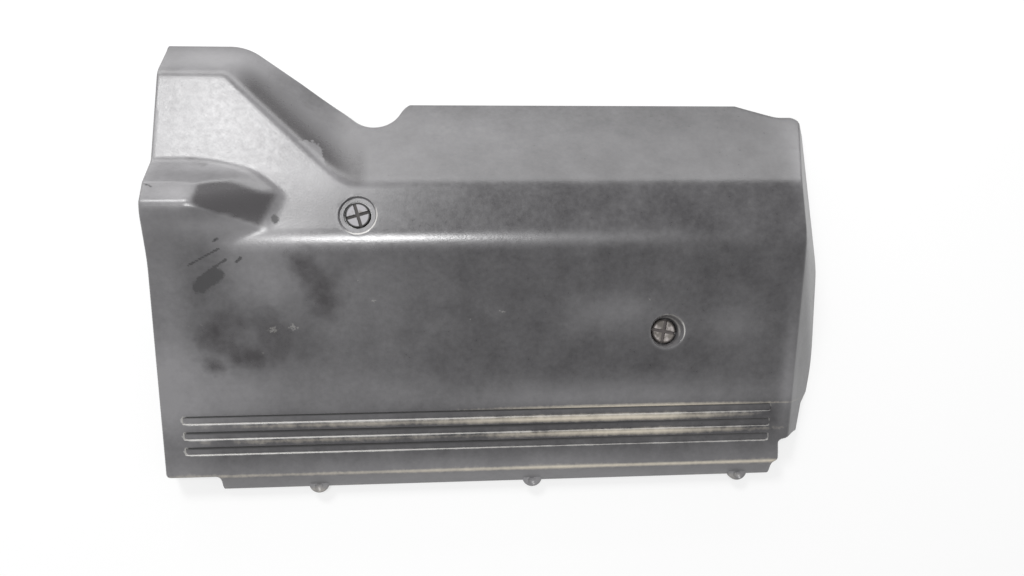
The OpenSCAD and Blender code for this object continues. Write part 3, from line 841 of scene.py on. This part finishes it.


# %% Film of dust, and painted sheen
# Each mark is a strength, then a place, a half length and a half width.
DUST_AND_SHEEN = (
    (0.5, -205, 95, 62, 62), (0.6, -200, 152, 60, 14), (0.4, -190, 68, 45, 4),
    (0.34, -110, 55, 60, 26), (0.25, -128, 66, 16, 14), (0.3, -60, 100, 110, 32),
    (0.45, -236, -60, 20, 110), (0.4, -242, 90, 6, 60), (0.5, -218, -84, 48, 34),
    (0.42, -190, 27, 42, 6), (0.45, -217, 47, 14, 9), (0.45, -160, 20, 40, 12),
    (0.55, -167, -9, 27, 21), (0.28, -100, -30, 50, 44), (0.3, -150, -92, 90, 22),
    (0.24, 80, GROOVE_Y[0] + 9, 130, 8), (0.32, 70, -92, 150, 12), (0.36, 74, -34, 34, 15),
    (0.26, 158, -43, 28, 14), (0.5, -40, RIDGE_Y, 130, 5), (0.6, -20, -149, 330, 12),
    (0.7, 0, -162, 330, 8), (0.45, 207, -80, 6, 50), (0.6, 222, 66, 12, 44))
from_left_stud = np.hypot(px - STUD_LEFT[0], py - STUD_LEFT[1])
from_right_stud = np.hypot(px - STUD_RIGHT[0], py - STUD_RIGHT[1])
# Several ovals are painted sheen as well as dust: on the lobe, the pad's top, the ridge, the left side walls
# and the right wall.
dust_and_sheen = 0.2 + sum(strength * spot(*oval) for strength, *oval in DUST_AND_SHEEN)
# The rings in the dish and on the well's wall are painted light on their shaded floor and wall.
dust_and_sheen += 0.5 * bell(from_left_stud - 11, 2.2) + 0.6 * bell(from_right_stud - 11, 1.8)
store("dust_and_sheen", dust_and_sheen)

# %% [markdown]
# Painted shade darkens a band just past the lobe's slanting bend, the pad's ramp and the
# shaded side of the dish. Other places were wiped in thumb-sized blotches. The tide mark
# interrupts the painted dark band.

# %% Painted shade and wiped places
SHADE_BAND_AT, SHADE_NEAR, SHADE_FAR = 3, 3.6, 12
BAND_X, BAND_FADE = (-196, -92), (22, 12)
WIPED = ((-199, -46, 19, 23), (-161, -49, 15, 22), (-181, -60, 25, 11), (-138, 0, 14, 19),
         (-127, -22, 15, 19), (-203, -67, 9, 12))
past_bend = roof(px, py) - rear(px, py)
along_diagonal = (smooth_step((px - BAND_X[0]) / BAND_FADE[0])
                  * smooth_step((BAND_X[1] - px) / BAND_FADE[1]))
band = np.where(past_bend < SHADE_BAND_AT, SHADE_NEAR, SHADE_FAR)
# Painted shade: a dark band past the lobe's bend, then the pad's ramp and the dish's shaded side.
painted_shade = bell(past_bend - SHADE_BAND_AT, band) * along_diagonal
pad_heights = {name: plane(px, py, *face[:3]) for name, face in PAD_FACES.items()}
ramp = np.minimum(pad_heights["ramp, rear half"], pad_heights["ramp, front half"])
beside_ramp = np.min([h for name, h in pad_heights.items() if not name.startswith("ramp")], axis=0)
on_ramp = smooth_step((beside_ramp - ramp + 0.3) / 1.6) * smooth_step((ramp - roof(px, py)) / 2.5)
dish_shade = np.clip((0.3 * (py - STUD_LEFT[1]) - (px - STUD_LEFT[0])) / 10, 0, 1)
painted_shade = np.maximum(painted_shade, 0.6 * dish_shade * smooth_step((DISH_R + 0.4 - from_left_stud) / 1.2))
store("painted_shade", np.maximum(painted_shade, 0.85 * on_ramp))
wiped = np.max([0.95 * spot(*mark) for mark in WIPED], axis=0)
wiped = np.maximum(wiped, 0.5 * stroke((-212, 122), (-176, 88), 3) + 0.4 * stroke((-231, 84), (-206, 70), 3))
wiped = np.maximum(wiped, 0.4 * spot(20, -20, 34, 30))
store("wiped", wiped)
store("tide_mark", 1.2 * spot(-138, 77, 12, 10, -46) + 0.9 * spot(-122, 60, 13, 6, -40))

# %% Scuffs below the pad
# Each scuff is a strength, two ends and a half width.
SCUFFS = ((1.0, (-215, 1), (-194, 12), 0.8), (1.0, (-209, -8), (-190, 5), 0.9),
          (1.0, (-183, 3), (-180, 6), 1.0), (0.95, (-209, -13), (-197, -5), 5.6),
          (0.62, (-240, 55), (-233, 52), 0.9))
scuffs = np.max([strength * stroke(*line) for strength, *line in SCUFFS], axis=0)
scuffs = np.maximum(scuffs, np.maximum(spot(-157, 32, 3, 3.6), 0.75 * spot(-195, 18, 3, 1.6, 20)))
store("scuffs", scuffs)

# %% Chips on the face
# Each chip is a place and a half length.
CHIPS = ((-218, -39, 2), (-209, -39, 2), (-162, -43, 5), (-148, -42, 5), (-93, -24, 2), (-103, -11, 2),
         (-170, -60, 2), (-167, -67, 2), (-4, -33, 2), (0, -43, 2), (-27, -37, 2), (100, -26, 2))
store("chips", np.max([spot(x, y, reach, reach * 0.6) for x, y, reach in CHIPS], axis=0))

# %% [markdown]
# Spray from the road dries beige on the lands between the grooves, most of all right of
# the middle, and a painted highlight runs along the face's front edge. Along the upper side
# of each groove painted shade darkens the corner, and along the lower edge a painted
# highlight lightens it. Both follow the groove's own distance, so they stay on the edge.

# %% Road dust on the lands, and a painted highlight on the front edge
half_groove = GROOVE_WIDTH / 2
# The first line is a painted highlight along the face's front edge; the rest is road dust.
road_dust_and_edge_highlight = 0.9 * bell(py - FRONT_Y - 0.4, 1.5) * (0.55 + 0.45 * smooth_step((px + 150) / 200))
for centre, middle, half_length, strength in ((GROOVE_Y[0], 58, 104, 1.15), (GROOVE_Y[1], 84, 96, 0.95)):
    road_dust_and_edge_highlight += strength * spot(middle, centre - half_groove - 2.0, half_length, 2.3)
    road_dust_and_edge_highlight += 0.4 * spot(-140, centre - half_groove - 2.4, 90, 2.2)
road_dust_and_edge_highlight += 1.5 * spot(98, GROOVE_Y[0] + half_groove + 1.0, 110, 1.1)
road_dust_and_edge_highlight += 0.32 * spot(-140, -163, 100, 5) + 0.3 * spot(150, -163, 60, 5)
store("road_dust_and_edge_highlight", road_dust_and_edge_highlight)

# %% Painted highlights and painted shade along the grooves
painted_edge_highlight, groove_painted_shade = np.zeros_like(px), np.zeros_like(px)
for centre in GROOVE_Y:
    gap = groove_distance(px, py, centre)
    # Painted highlight along the lower edge and the ends, painted shade in the upper corner.
    lower = np.clip((centre - py) / half_groove + 0.1, 0.12, 1)
    left_end = smooth_step((-226 - px) / 2)
    right_end = smooth_step((px - 192) / 2) * smooth_step((py - centre + 2.5) / 3)
    side = np.maximum(np.maximum(lower, left_end), 0.8 * right_end)
    fade = 1 - 0.35 * smooth_step((px + 120) / 160)
    painted_edge_highlight = np.maximum(painted_edge_highlight, bell(gap, 0.38) * side * fade)
    upper = bell(py - centre - half_groove + 0.7, 0.8) * (gap < 0.2)
    groove_painted_shade = np.maximum(groove_painted_shade, upper * (1 - 0.45 * smooth_step((px + 20) / 120)))

# %% Painted highlight rings round the studs, and the burnished ridge
# Each ring is a strength, the distance from the stud, a centre line and a half width.
# The rings are painted highlights, on the far wall of the well and the lit side of the dish.
far_side = np.clip(0.25 + ((px - STUD_RIGHT[0]) + (py - STUD_RIGHT[1])) / 14, 0.15, 1)
lit_side = np.clip(0.2 + ((px - STUD_LEFT[0]) - (py - STUD_LEFT[1])) / 15, 0.1, 1)
for strength, away, radius, half_width in (
        (0.75 * far_side, from_right_stud, 12.6, 0.5), (0.6 * far_side, from_right_stud, 10.6, 0.45),
        (0.85 * lit_side, from_left_stud, 13.0, 0.6)):
    painted_edge_highlight = np.maximum(painted_edge_highlight, strength * bell(away - radius, half_width))
store("painted_edge_highlights", painted_edge_highlight)
store("groove_painted_shade", groove_painted_shade)
store("burnished", bell(py - RIDGE_Y, 7) * smooth_step((px + 190) / 50) * smooth_step((70 - px) / 120))

# %% [markdown]
# ## Colour and node helpers
# Colours are written as hex codes, as a paint chart gives them, and one function turns
# them into the linear values that the renderer mixes. A second one adds any node.


# %% Colour and node helpers
def linear(code):
    """An sRGB hex colour as linear values."""
    parts = [int(code[i:i + 2], 16) / 255 for i in (1, 3, 5)]
    return [p / 12.92 if p <= 0.04045 else ((p + 0.055) / 1.055) ** 2.4 for p in parts] + [1.0]


def add_node(tree, kind, inputs=None, **settings):
    """Adds a node, sets it up and links or fills its inputs."""
    made = tree.nodes.new(kind)
    for key, value in settings.items():
        setattr(made, key, value)
    for key, value in (inputs or {}).items():
        if isinstance(value, bpy.types.NodeSocket):
            tree.links.new(value, made.inputs[key])
        else:
            made.inputs[key].default_value = value
    return made


def new_material(name):
    """An empty material with its node tree and its shader."""
    made = bpy.data.materials.new(name)
    made.use_nodes = True
    return made, made.node_tree, made.node_tree.nodes["Principled BSDF"]


def per_mm(size):
    """Noise scale that gives features of about this size, on coordinates in metres."""
    return 1 / (size * MM)


# %% [markdown]
# ## Black glass-filled nylon
# The cover is injection-moulded polyamide 6 with short glass fibre, coloured black right
# through, in a finely eroded steel mould. That gives a satin surface: a soft, wide
# highlight, an index of refraction near 1.54, and a grain of about 0.1 mm. A pixel shows
# about 0.7 mm, so the grain is drawn 1.3 mm wide, as coarse as it has to be to show. Dust
# is a pale, dull layer on top, so it raises both the colour and the roughness.

# %% Noise at four sizes
# Each noise is the size of its features in millimetres, its detail and its roughness.
NOISES = {"cloud": (26, 7.0, 0.62), "patches": (15, 6.0, 0.6), "speckle": (4, 4.0, 0.65),
          "grain": (1.3, 2.0, 0.5)}
plastic, tree, shader = new_material("moulded_glass_filled_nylon")
where = add_node(tree, "ShaderNodeTexCoord").outputs["Object"]
noise = {}
for name, (size, detail, roughness) in NOISES.items():
    settings = {"Vector": where, "Scale": per_mm(size), "Detail": detail, "Roughness": roughness}
    noise[name] = add_node(tree, "ShaderNodeTexNoise", settings).outputs["Fac"]
print("noises:", list(noise))


# %% Fields broken up by noise
def broken(field, low, high, coarse_share, fine_share, coarse="cloud", fine="speckle"):
    """A stored field plus noise, stretched between two limits to 0..1."""
    value = add_node(tree, "ShaderNodeAttribute", attribute_name=field).outputs["Fac"]
    for source, share in ((coarse, coarse_share), (fine, fine_share)):
        centred = add_node(tree, "ShaderNodeMath", {0: noise[source], 1: 0.5}, operation="SUBTRACT")
        value = add_node(tree, "ShaderNodeMath", {0: centred.outputs[0], 1: share, 2: value},
                         operation="MULTIPLY_ADD").outputs[0]
    return add_node(tree, "ShaderNodeMapRange",
                    {"Value": value, "From Min": low, "From Max": high}).outputs["Result"]


dust_and_sheen_cover = broken("dust_and_sheen", 0.0, 1.05, 0.55, 0.3)
tide_cover = broken("tide_mark", 0.42, 0.52, 0.5, 0.6)
wiped_cover = broken("wiped", 0.34, 1.1, 1.7, 0.4, coarse="patches")
scuff_cover = broken("scuffs", 0.34, 0.62, 0.7, 1.3, coarse="patches")
dust_and_edge_highlight_cover = broken("road_dust_and_edge_highlight", 0.18, 0.95, 0.5, 0.5)
edge_highlight_cover = broken("painted_edge_highlights", 0.25, 0.7, 0.6, 0.3)
groove_shade_cover = broken("groove_painted_shade", 0.3, 0.8, 0.6, 0.2)
chip_cover = broken("chips", 0.62, 0.9, 0.6, 1.8, fine="grain")
shade_and_wiped_cover = broken("painted_shade", 0.15, 0.95, 0.35, 0.3)
no_tide = add_node(tree, "ShaderNodeMath", {0: 1.0, 1: tide_cover}, operation="SUBTRACT").outputs[0]
for other, operation in ((no_tide, "MULTIPLY"), (wiped_cover, "MAXIMUM")):
    shade_and_wiped_cover = add_node(tree, "ShaderNodeMath", {0: shade_and_wiped_cover, 1: other}, operation=operation).outputs[0]
print("nodes so far:", len(tree.nodes))

# %% Layers of colour, from the nylon up
# Each layer is a colour, where it lies and how opaque it is at most.
# The pale film layer is dust and painted sheen, the dark one after it is painted shade and wiped blotches,
# the road dust layer also holds a painted highlight on the front edge, the near-black one is painted shade
# in the grooves' upper corners, and the pale edge layer is painted highlight.
LAYERS = (
    ("#a8a7a9", dust_and_sheen_cover, 0.44), ("#1c181b", shade_and_wiped_cover, 0.84), ("#19181a", scuff_cover, 0.85),
    ("#cdc4b3", dust_and_edge_highlight_cover, 0.78), ("#0d0c0d", groove_shade_cover, 0.9), ("#d6d4d0", edge_highlight_cover, 0.66),
    ("#bdbbb6", chip_cover, 0.19))
colour = linear("#1c1a1d")
for code, cover, most in LAYERS:
    opaque = add_node(tree, "ShaderNodeMath", {0: cover, 1: most}, operation="MULTIPLY").outputs[0]
    colour = add_node(tree, "ShaderNodeMix", {"Factor": opaque, "A": colour, "B": linear(code)},
                      data_type="RGBA").outputs["Result"]
tree.links.new(colour, shader.inputs["Base Color"])
print("colour layers:", len(LAYERS))

# %% Roughness and grain
GRAIN_DEPTH = 0.045
dull = add_node(tree, "ShaderNodeMath", {0: dust_and_edge_highlight_cover, 1: scuff_cover}, operation="MAXIMUM").outputs[0]
polish = add_node(tree, "ShaderNodeAttribute", attribute_name="burnished").outputs["Fac"]
mottled = add_node(tree, "ShaderNodeMath", {0: noise["speckle"], 1: 0.5}, operation="SUBTRACT").outputs[0]
rough = 0.3
for cover, change in ((dust_and_sheen_cover, 0.03), (dull, 0.25), (polish, -0.09), (mottled, 0.15),
                      (shade_and_wiped_cover, -0.06)):
    rough = add_node(tree, "ShaderNodeMath", {0: cover, 1: change, 2: rough},
                     operation="MULTIPLY_ADD").outputs[0]
tree.links.new(rough, shader.inputs["Roughness"])
relief = add_node(tree, "ShaderNodeBump",
                  {"Height": noise["grain"], "Strength": 1.0, "Distance": GRAIN_DEPTH * MM})
tree.links.new(relief.outputs["Normal"], shader.inputs["Normal"])
shader.inputs["IOR"].default_value = 1.54
shell.data.materials.clear()
shell.data.materials.append(plastic)
print("plastic:", len(tree.nodes), "nodes")

# %% [markdown]
# ## Zinc-plated steel
# The studs are cold-headed steel with a thin, bright zinc plating that has gone dull in the
# engine bay. Painted shade darkens the crossed slots and the gap round each head, so the
# slots' floors are dark and matt and the head's rim is darker still. The right stud sits
# deeper and is dusty and stained all over.

# %% Zinc
SLOT_FROM, SLOT_FULL = 0.3, 1.0
RIM_FROM, RIM_FULL = 1.6, 0.9
STAIN = "#6a6560"
# Each look is how much is stained, then the colours of the metal, of the painted shade in the slots and of
# the painted shadow at the rim.
LOOKS = {"left": (0.05, "#6b6a6c", "#3f3c3b", "#141312"),
         "right": (0.24, "#96918f", "#5a5453", "#3c3735")}


def zinc(name, axis, top, stained, bright, slot_shade, rim_shade):
    """Plated steel; what lies below `top` or near the head's rim is darkened with painted shade. All in
    metres.
    """
    made, tree, shader = new_material(name)
    where = add_node(tree, "ShaderNodeTexCoord").outputs["Object"]
    height = add_node(tree, "ShaderNodeSeparateXYZ", {"Vector": where}).outputs["Z"]
    level = add_node(tree, "ShaderNodeVectorMath", {0: where, 1: (1, 1, 0)},
                     operation="MULTIPLY").outputs[0]
    away = add_node(tree, "ShaderNodeVectorMath", {0: level, 1: (*axis, 0)},
                    operation="DISTANCE").outputs["Value"]
    stain = add_node(tree, "ShaderNodeTexNoise", {"Vector": where, "Scale": per_mm(5), "Detail": 5.0})
    colour, stain_and_shade = linear(bright), 0.0
    # A real stain, then painted shade in the slots and a painted shadow at the head's rim.
    for value, none, full, code in (
            (stain.outputs["Fac"], 0.6 - stained, 0.8 - stained, STAIN),
            (height, top - SLOT_FROM * MM, top - SLOT_FULL * MM, slot_shade),
            (away, (HEAD_R - RIM_FROM) * MM, (HEAD_R - RIM_FULL) * MM, rim_shade)):
        cover = add_node(tree, "ShaderNodeMapRange",
                         {"Value": value, "From Min": none, "From Max": full}).outputs["Result"]
        colour = add_node(tree, "ShaderNodeMix", {"Factor": cover, "A": colour, "B": linear(code)},
                          data_type="RGBA").outputs["Result"]
        stain_and_shade = add_node(tree, "ShaderNodeMath", {0: cover, 1: stain_and_shade}, operation="MAXIMUM").outputs[0]
    tree.links.new(colour, shader.inputs["Base Color"])
    for socket, clean_value, stain_and_shade_value in (("Metallic", 1.0, 0.2), ("Roughness", 0.5, 0.65)):
        value = add_node(tree, "ShaderNodeMapRange", {"Value": stain_and_shade, "To Min": clean_value,
                                                      "To Max": stain_and_shade_value}).outputs["Result"]
        tree.links.new(value, shader.inputs[socket])
    return made


for name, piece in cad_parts.items():
    if name != "cover_shell":
        corners = np.array([vert.co[:] for vert in piece.data.vertices])
        middle = (corners.min(0) + corners.max(0)) / 2
        top = corners[:, 2].max() if name.endswith("stud") else corners[:, 2].min()
        look = LOOKS[name.split("_")[0]]
        piece.data.materials.clear()
        piece.data.materials.append(zinc("zinc_plated_" + name, middle[:2], top, *look))
print("zinc on", len(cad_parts) - 1, "pieces")

# %% [markdown]
# ## Floor, backdrop and light
# The cover lies on white paper. The paper and the world are pale in themselves, so the
# background needs no strong lamp. A small softbox high at the rear left makes the broad
# sheen on the lobe, which fades along the deck. One straight above draws the thin light
# along the ridge, and a long low one behind lights the rear flange.

# %% Floor and backdrop
FLOOR_Z, FLOOR_REACH = -0.2 * MM, 4
floor_mesh = bpy.data.meshes.new("floor")
corners = [(x * FLOOR_REACH, y * FLOOR_REACH, FLOOR_Z) for x, y in ((-1, -1), (1, -1), (1, 1), (-1, 1))]
floor_mesh.from_pydata(corners, [], [(0, 1, 2, 3)])
floor = bpy.data.objects.new("floor", floor_mesh)
bpy.context.scene.collection.objects.link(floor)
paper, tree, shader = new_material("white_paper")
shader.inputs["Base Color"].default_value = linear("#e4e4e4")
shader.inputs["Roughness"].default_value = 0.9
ray = add_node(tree, "ShaderNodeLightPath")
seen = add_node(tree, "ShaderNodeMath", {0: ray.outputs["Is Camera Ray"], 1: ray.outputs["Is Glossy Ray"]},
                operation="MAXIMUM")
share = add_node(tree, "ShaderNodeMath", {0: seen.outputs[0], 1: 0.65}, operation="MULTIPLY")
glow = add_node(tree, "ShaderNodeEmission", {"Color": linear("#ffffff"), "Strength": 1.0})
even = add_node(tree, "ShaderNodeMixShader",
                {0: share.outputs[0], 1: shader.outputs[0], 2: glow.outputs[0]})
tree.links.new(even.outputs[0], tree.nodes["Material Output"].inputs["Surface"])
floor.data.materials.append(paper)

# %% World
world = bpy.data.worlds.new("studio")
bpy.context.scene.world = world
world.use_nodes = True
tree = world.node_tree
tree.nodes.clear()
ray = add_node(tree, "ShaderNodeLightPath")
seen = add_node(tree, "ShaderNodeMath", {0: ray.outputs["Is Camera Ray"], 1: ray.outputs["Is Glossy Ray"]},
                operation="MAXIMUM")
seen = add_node(tree, "ShaderNodeMath", {0: seen.outputs[0], 1: ray.outputs["Is Transmission Ray"]},
                operation="MAXIMUM")
strength = add_node(tree, "ShaderNodeMix", {0: seen.outputs[0], 2: 0.44, 3: 1.0}, data_type="FLOAT")
light = add_node(tree, "ShaderNodeBackground",
                 {"Color": linear("#ffffff"), "Strength": strength.outputs[0]})
add_node(tree, "ShaderNodeOutputWorld", {"Surface": light.outputs[0]})


# %% Lamps
def softbox(name, place, aim, width, depth, power):
    """A rectangular lamp at a place, facing a point; sizes in metres."""
    data = bpy.data.lights.new(name, "AREA")
    data.shape, data.size, data.size_y, data.energy = "RECTANGLE", width, depth, power
    lamp = bpy.data.objects.new(name, data)
    lamp.location = place
    lamp.rotation_euler = (Vector(aim) - Vector(place)).to_track_quat("-Z", "Y").to_euler()
    lamp.visible_camera = False
    bpy.context.scene.collection.objects.link(lamp)
    return lamp


softbox("key", (-0.76, 1.55, 1.72), (-0.1, 0.05, 0.05), 0.5, 0.5, 30)
softbox("overhead", (-0.24, 0.24, 1.75), (-0.08, 0.02, 0.06), 0.4, 0.34, 16)
softbox("low_rear", (0.0, 1.1, 0.22), (0, 0.1, 0.0), 1.8, 0.4, 9)

# %% View settings
bpy.context.scene.view_settings.view_transform = "Standard"
